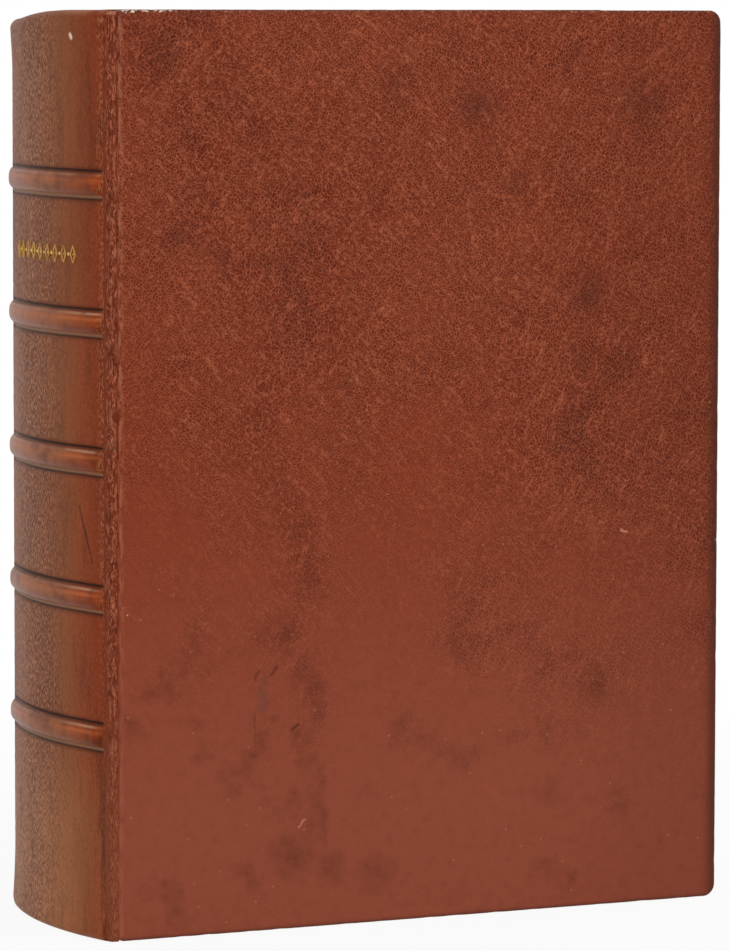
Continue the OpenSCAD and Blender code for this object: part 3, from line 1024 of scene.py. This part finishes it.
class Growth(Tree):
    # a Geometry Nodes tree with one named input for each value
    def __init__(self, name, values):
        super().__init__(bpy.data.node_groups.new(name, "GeometryNodeTree"))
        face = self.nodeTree.interface
        face.new_socket("Geometry", in_out="OUTPUT", socket_type="NodeSocketGeometry")
        for label, value in values.items():
            kind = {int: "Int", float: "Float"}.get(type(value), "Material")
            face.new_socket(label, in_out="INPUT", socket_type="NodeSocket" + kind)
        self.values = values

    def given(self, label):
        return self.node("NodeGroupInput", out=label)

    def join(self, *parts):
        made = self.nodeTree.nodes.new("GeometryNodeJoinGeometry")
        for part in parts[::-1]:
            self.nodeTree.links.new(part.out, made.inputs[0])
        return Socket(self, made.outputs[0])

    def finish(self, instances, material):
        real = self.node("GeometryNodeRealizeInstances", None, {"Geometry": instances})
        done = self.node("GeometryNodeSetMaterial", None, {"Geometry": real, "Material": material})
        self.node("NodeGroupOutput", None, {"Geometry": done})


def grow(name, tree, smooth):
    piece = newPiece(name, [], [])
    modifier = piece.modifiers.new("grow", "NODES")
    modifier.node_group = tree.nodeTree
    for item in tree.nodeTree.interface.items_tree:
        if item.in_out == "INPUT":
            modifier[item.identifier] = tree.values[item.name]
    bakeModifiers(piece)
    cleanMesh(piece, 0.0005 * mm, smooth=smooth)
    return piece


pages = {
    "leaves": 140,
    "fill": 0.88,               # share of its place that each leaf fills
    "shift": 0.16 * mm,         # how unevenly the leaves stand
    "backR": spineR - 1.8 * mm,
    "hollow": 4.5 * mm,         # depth of the hollow fore-edge
    "swell": 0.072,             # how far the back fans out into the shoulders
    "flatY": 28.1 * mm,
    "seed": 4,
    "paper": (srgb(236, 220, 186), srgb(204, 174, 128), 6 * mm),     # inside, edge, its width
    "endpaper": (srgb(232, 216, 184), srgb(186, 148, 102), 20 * mm),
    # painted shade of the gaps between the leaves
    "gap": srgb(150, 122, 84),
    "foxing": srgb(172, 120, 70),
    "margin": 8 * mm,           # from the covers' edge to the pages'
}


def makePaper(name, tone, edgeTone, edgeWidth):
    paper = Finish(name, {"Specular IOR Level": 0.2})
    x, _, z = paper.place.split()
    fibre = paper.noise(paper.place, 900, 3)
    cloud = paper.noise(paper.place, 30, 3, 0.6)
    leaf = paper.noise(paper.place * (0.0, 1.0, 0.0), 2600, 1)
    edge = foreEdge - pages["margin"]
    rim = largest(x.smooth(edge - edgeWidth, edge), z.smooth(edgeWidth, 2 * mm),
                  z.smooth(height - edgeWidth, height - 2 * mm))
    foxing = paper.cells(paper.place, 190, "F1").smooth(0.14, 0.03) * cloud.smooth(0.5, 0.62)
    paper.set("Base Color", coated(mix(cloud * 0.18, tone, edgeTone),
                                   (rim * (0.35 + 0.5 * cloud), edgeTone),
                                   # painted shade of the gaps between the leaves, in stripes one
                                   # leaf apart
                                   (leaf.smooth(0.5, 0.75) * 0.35, pages["gap"]),
                                   (foxing * 0.4, pages["foxing"])))
    paper.set("Roughness", 0.80 + 0.12 * fibre)
    paper.bump(fibre + leaf, 0.05 * mm, 0.4)
    return paper.material


def makePages():
    hollowR = (pages["flatY"] ** 2 + pages["hollow"] ** 2) / (2 * pages["hollow"])
    tree = Growth("leafStack", {
        "Leaves": pages["leaves"], "Thickness": 2 * pages["flatY"] - 0.1 * mm,
        "Height": blockHigh.z - blockLow.z, "Tail": blockLow.z,
        "Back Radius": pages["backR"], "Back Centre": spineCentre,
        "Hollow Radius": hollowR,
        "Hollow Centre": blockHigh.x - pages["hollow"] + hollowR,
        "Fill": pages["fill"], "Shift": pages["shift"], "Swell": pages["swell"],
        "Shoulder": cornerX + 1.0 * mm, "Seed": pages["seed"],
        "Paper": makePaper("leafPaper", *pages["paper"])})
    index = tree.node("GeometryNodeInputIndex")
    count = tree.given("Leaves")
    thick = tree.given("Thickness")
    y = ((index + 0.5) / count - 0.5) * thick
    jitter = tree.node("FunctionNodeRandomValue", {"data_type": "FLOAT_VECTOR"},
                       {0: (0.0, 0.0, 0.0), 1: (1.0, 1.0, 1.0), "Seed": tree.given("Seed")})
    jx, _, jz = jitter.split()
    shift = tree.given("Shift")
    radius, hollow = tree.given("Back Radius"), tree.given("Hollow Radius")
    back = tree.given("Back Centre") - (radius * radius - y * y) ** 0.5
    fore = tree.given("Hollow Centre") - (hollow * hollow - y * y) ** 0.5 - jx * shift
    tall = tree.given("Height") - jz * shift
    spots = tree.node("GeometryNodePoints", None, {
        "Count": count,
        "Position": tree.vector((back + fore) * 0.5, y, tree.given("Tail") + tall * 0.5)})
    leaf = tree.node("GeometryNodeMeshCube", None,
                     {"Size": (1.0, 1.0, 1.0), "Vertices X": 40, "Vertices Y": 2, "Vertices Z": 2})
    stack = tree.node("GeometryNodeInstanceOnPoints", None, {
        "Points": spots, "Instance": leaf,
        "Scale": tree.vector(fore - back, thick / count * tree.given("Fill"), tall)})
    real = tree.node("GeometryNodeRealizeInstances", None, {"Geometry": stack})
    # fans the leaves out into the shoulders along the back
    px, py, _ = tree.node("GeometryNodeInputPosition").split()
    near = px.smooth(tree.given("Shoulder") + 3 * mm, tree.given("Shoulder") - 1 * mm)
    fan = tree.vector(0.0, py * near * tree.given("Swell"), 0.0)
    fanned = tree.node("GeometryNodeSetPosition", None, {"Geometry": real, "Offset": fan})
    tree.finish(fanned, tree.given("Paper"))
    return grow("pages", tree, smooth=False)


block = makePages()
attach(block, "root")
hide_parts("text_block")
print("pages made,", len(block.data.polygons), "faces")


endband = {
    "core": 1.9 * mm,
    "bead": 1.0 * mm,
    "thread": 0.36 * mm,
    "stripe": 8,                # threads of one colour before the next
    "silks": (srgb(206, 178, 120), srgb(122, 40, 34)),
    "dust": srgb(110, 88, 64),
}


def makeSilk():
    silk = Finish("endbandSilk", {"Specular IOR Level": 0.4, "Sheen Weight": 0.2})
    which = silk.node("ShaderNodeAttribute", {"attribute_name": "silk"}, None, "Fac")
    dust = silk.noise(silk.place, 240, 3)
    strand = silk.noise(silk.place * (1.0, 1.0, 0.3), 4200, 2)
    silk.set("Base Color", mix(dust * 0.35, mix(which, *endband["silks"]), endband["dust"]))
    silk.set("Roughness", 0.42 + 0.2 * dust)
    silk.bump(strand, 0.04 * mm, 0.5)
    return silk.material


def makeEndband(name, node, silk):
    low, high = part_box(node)
    core, bead = endband["core"], endband["bead"]
    path = spineCentre - low.x - core / 2
    atTail = high.z < height / 2
    tree = Growth("woundBand", {
        "Path Radius": path, "Centre": spineCentre,
        "Level": high.z - core / 2 if atTail else low.z + core / 2,
        "Half Angle": math.asin(high.y / path) * 0.985, "Core": core, "Bead": bead,
        "Bead Radius": path - (core + bead) / 2 + 0.15 * mm,
        "Thread": endband["thread"], "Stripe": endband["stripe"],
        "Sink": 0.0 if atTail else spineShape["headSlope"],
        "Sink From": spineShape["headFall"][0], "Sink To": spineShape["headFall"][1],
        "Silk": silk})
    index = tree.node("GeometryNodeInputIndex")
    thread, halfAngle = tree.given("Thread"), tree.given("Half Angle")

    def winding(path, size):
        # thread rings side by side along an arc round the back of the pages
        count = combine("FLOOR", halfAngle * 2 * path / thread)
        angle = (index / (count - 1) - 0.5) * 2 * halfAngle
        sine, cosine = combine("SINE", angle), combine("COSINE", angle)
        fall = (path * sine).smooth(tree.given("Sink From"), tree.given("Sink To"))
        level = tree.given("Level") - fall * tree.given("Sink")
        spots = tree.node("GeometryNodePoints", None, {
            "Count": count, "Position": tree.vector(tree.given("Centre") - path * cosine,
                                                    path * sine, level)})
        colour = combine("LESS_THAN", combine("MODULO", index, tree.given("Stripe") * 2),
                         tree.given("Stripe"))
        marked = tree.node("GeometryNodeStoreNamedAttribute", {"data_type": "FLOAT"},
                           {"Geometry": spots, "Name": "silk", "Value": colour})
        ring = tree.node("GeometryNodeCurvePrimitiveCircle", None,
                         {"Resolution": 16, "Radius": (size - thread) / 2})
        strand = tree.node("GeometryNodeCurvePrimitiveCircle", None,
                           {"Resolution": 6, "Radius": thread * 0.52})
        coil = tree.node("GeometryNodeCurveToMesh", None, {"Curve": ring, "Profile Curve": strand})
        turn = tree.vector(math.pi / 2, 0.0, -angle)
        return tree.node("GeometryNodeInstanceOnPoints", None,
                         {"Points": marked, "Instance": coil, "Rotation": turn})

    tree.finish(tree.join(winding(tree.given("Path Radius"), tree.given("Core")),
                          winding(tree.given("Bead Radius"), tree.given("Bead"))),
                tree.given("Silk"))
    return grow(name, tree, smooth=True)


silk = makeSilk()
for name, node in (("tailEndband", "tail_endband"), ("headEndband", "head_endband")):
    band = makeEndband(name, node, silk)
    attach(band, "root")
    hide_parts(node)
print("endbands made")


# a gilt row in the second panel, where the photo has lettering
gilt = {
    "level": 171.3 * mm,
    "length": 36.5 * mm,
    "count": 17,
    "lozenge": (1.1 * mm, 2.1 * mm),    # half width and half height
    "stroke": 0.60 * mm,
    "dot": 0.42 * mm,
    "foil": 0.16 * mm,
    "proud": 0.05 * mm,
    "gold": srgb(238, 196, 98),
    "rubbed": srgb(120, 74, 38),
}


def makeGold():
    gold = Finish("wornGold", {})
    wear = gold.noise(gold.place, 620, 3, 0.65)
    worn = wear.smooth(0.50, 0.62)
    gold.set("Base Color", mix(worn * 0.5, gilt["gold"], gilt["rubbed"]))
    gold.set("Metallic", 0.30 - worn * 0.2)
    gold.set("Roughness", 0.36 + worn * 0.3)
    gold.bump(wear, 0.05 * mm, 0.4)
    return gold.material


def makeGilt():
    tree = Growth("giltRow", {
        "Count": gilt["count"], "Length": gilt["length"], "Level": gilt["level"],
        "Radius": spineR - gilt["foil"] / 2 + gilt["proud"], "Centre": spineCentre,
        "Half Width": gilt["lozenge"][0], "Half Height": gilt["lozenge"][1],
        "Stroke": gilt["stroke"], "Dot": gilt["dot"], "Foil": gilt["foil"],
        "Gold": makeGold()})
    index = tree.node("GeometryNodeInputIndex")
    count, radius = tree.given("Count"), tree.given("Radius")
    angle = (index / (count - 1) - 0.5) * tree.given("Length") / radius
    spots = tree.node("GeometryNodePoints", None, {
        "Count": count,
        "Position": tree.vector(tree.given("Centre") - radius * combine("COSINE", angle),
                                radius * combine("SINE", angle), tree.given("Level"))})
    square = tree.node("GeometryNodeCurvePrimitiveCircle", None, {"Resolution": 4, "Radius": 1.0})
    shaped = tree.node("GeometryNodeTransform", None, {
        "Geometry": square,
        "Scale": tree.vector(tree.given("Half Width"), tree.given("Half Height"), 1.0)})
    nib = tree.node("GeometryNodeCurvePrimitiveQuadrilateral", None,
                    {"Width": tree.given("Foil"), "Height": tree.given("Stroke")})
    lozenge = tree.node("GeometryNodeCurveToMesh", None, {"Curve": shaped, "Profile Curve": nib})

    def stud(corners, size):
        return tree.node("GeometryNodeMeshCylinder", None,
                         {"Vertices": corners, "Radius": size, "Depth": tree.given("Foil")})

    def every(odd, shape):
        chosen = combine("COMPARE", combine("MODULO", index, 2), odd, 0.1)
        turn = tree.vector(math.pi / 2, 0.0, -math.pi / 2 - angle)
        return tree.node("GeometryNodeInstanceOnPoints", None,
                         {"Points": spots, "Selection": chosen, "Instance": shape,
                          "Rotation": turn})

    framed = tree.join(lozenge, stud(10, tree.given("Dot") * 0.55))
    tree.finish(tree.join(every(0, framed), every(1, stud(14, tree.given("Dot")))),
                tree.given("Gold"))
    return grow("giltRow", tree, smooth=False)


row = makeGilt()
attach(row, "root")
print("gilt row made")


# finishes of the pieces that keep their built shape
innerLook = {
    "hemp": (srgb(150, 124, 84), srgb(196, 172, 128), srgb(120, 96, 62)),   # strands, fuzz
    "kraft": (srgb(150, 112, 70), srgb(186, 148, 100)),
}


def dress(material, *nodes):
    for node in nodes:
        mesh = frame["nodes"][node].data
        mesh.materials.clear()
        mesh.materials.append(material)


def makeHemp():
    dark, pale, loose = innerLook["hemp"]
    hemp = Finish("hempCord", {"Specular IOR Level": 0.25})
    twist = hemp.node("ShaderNodeTexWave", {"bands_direction": "DIAGONAL"},
                      {"Vector": hemp.place, "Scale": 300, "Distortion": 2.0, "Detail": 2.0}, "Fac")
    fuzz = hemp.noise(hemp.place, 1800, 2)
    hemp.set("Base Color", mix(fuzz * 0.4, mix(twist, dark, pale), loose))
    hemp.set("Roughness", 0.75 + 0.15 * fuzz)
    hemp.bump(twist + fuzz * 0.5, 0.15 * mm, 0.7)
    return hemp.material


def makeKraft():
    kraft = Finish("kraftLining", {"Specular IOR Level": 0.2})
    fibre = kraft.noise(kraft.place * (1.0, 1.0, 0.3), 1100, 3)
    kraft.set("Base Color", mix(fibre, *innerLook["kraft"]))
    kraft.set("Roughness", 0.78 + 0.1 * fibre)
    kraft.bump(fibre, 0.05 * mm, 0.5)
    return kraft.material


dress(makePaper("endpaper", *pages["endpaper"]),
      "front_flyleaf", "rear_flyleaf", "front_pastedown", "rear_pastedown")
dress(makeHemp(), "front_slips", "rear_slips", *[f"sewing_cord_{k}" for k in range(1, 6)])
dress(makeKraft(), "spine_lining")
print("inner finishes made")


# light and floor
studio = {
    "world": 0.62,
    "lamps": {      # place, size and power
        "keyLight": ((1.3, -1.9, 1.5), 1.5, 19.0),
        "fillLight": ((-1.6, -1.6, 0.7), 1.4, 7.0),
    },
    "white": srgb(255, 255, 255),
    "floor": srgb(240, 240, 240),
    "floorSize": 6.0,
    "floorGlow": 0.91,          # how much of the floor's look for the camera is plain white
    "floorFade": (0.15, 0.55),  # and where the floor fades to all white
}

for name, (place, size, power) in studio["lamps"].items():
    data = bpy.data.lights.new(name, "AREA")
    data.shape = "SQUARE"
    data.size = size
    data.energy = power
    lamp = bpy.data.objects.new(name, data)
    lamp.location = place
    aim = Vector((0, 0, height / 2)) - Vector(place)
    lamp.rotation_euler = aim.to_track_quat("-Z", "Y").to_euler()
    scene.collection.objects.link(lamp)


def seenDirectly(tree):
    # 1 for camera, glossy and transmission rays, so that gloss shows the white too
    path = tree.node("ShaderNodeLightPath").out.node
    return largest(*[Socket(tree, path.outputs[k]) for k in
                     ("Is Camera Ray", "Is Glossy Ray", "Is Transmission Ray")])


def emptyTree(owner):
    owner.use_nodes = True
    owner.node_tree.nodes.clear()
    return Tree(owner.node_tree)


scene.world = bpy.data.worlds.new("studioWorld")
sky = emptyTree(scene.world)
level = studio["world"] + (1 - studio["world"]) * seenDirectly(sky)
sky.node("ShaderNodeOutputWorld", None, {"Surface": sky.node(
    "ShaderNodeBackground", None, {"Color": studio["white"], "Strength": level})})

half = studio["floorSize"] / 2
floorLook = bpy.data.materials.new("floorWhite")
floor = newPiece("floor", [(-half, -half, 0), (half, -half, 0), (half, half, 0), (-half, half, 0)],
                 [(0, 1, 2, 3)], floorLook)
ground = emptyTree(floorLook)
matte = ground.node("ShaderNodeBsdfDiffuse", None, {"Color": studio["floor"]})
white = ground.node("ShaderNodeEmission", None, {"Color": studio["white"], "Strength": 1.0})
away = ground.measure("LENGTH", ground.node("ShaderNodeTexCoord", out="Object"))
glow = studio["floorGlow"] + (1 - studio["floorGlow"]) * away.smooth(*studio["floorFade"])
ground.node("ShaderNodeOutputMaterial", None, {"Surface": ground.node(
    "ShaderNodeMixShader", None, {0: seenDirectly(ground) * glow, 1: matte, 2: white})})
print("studio set")
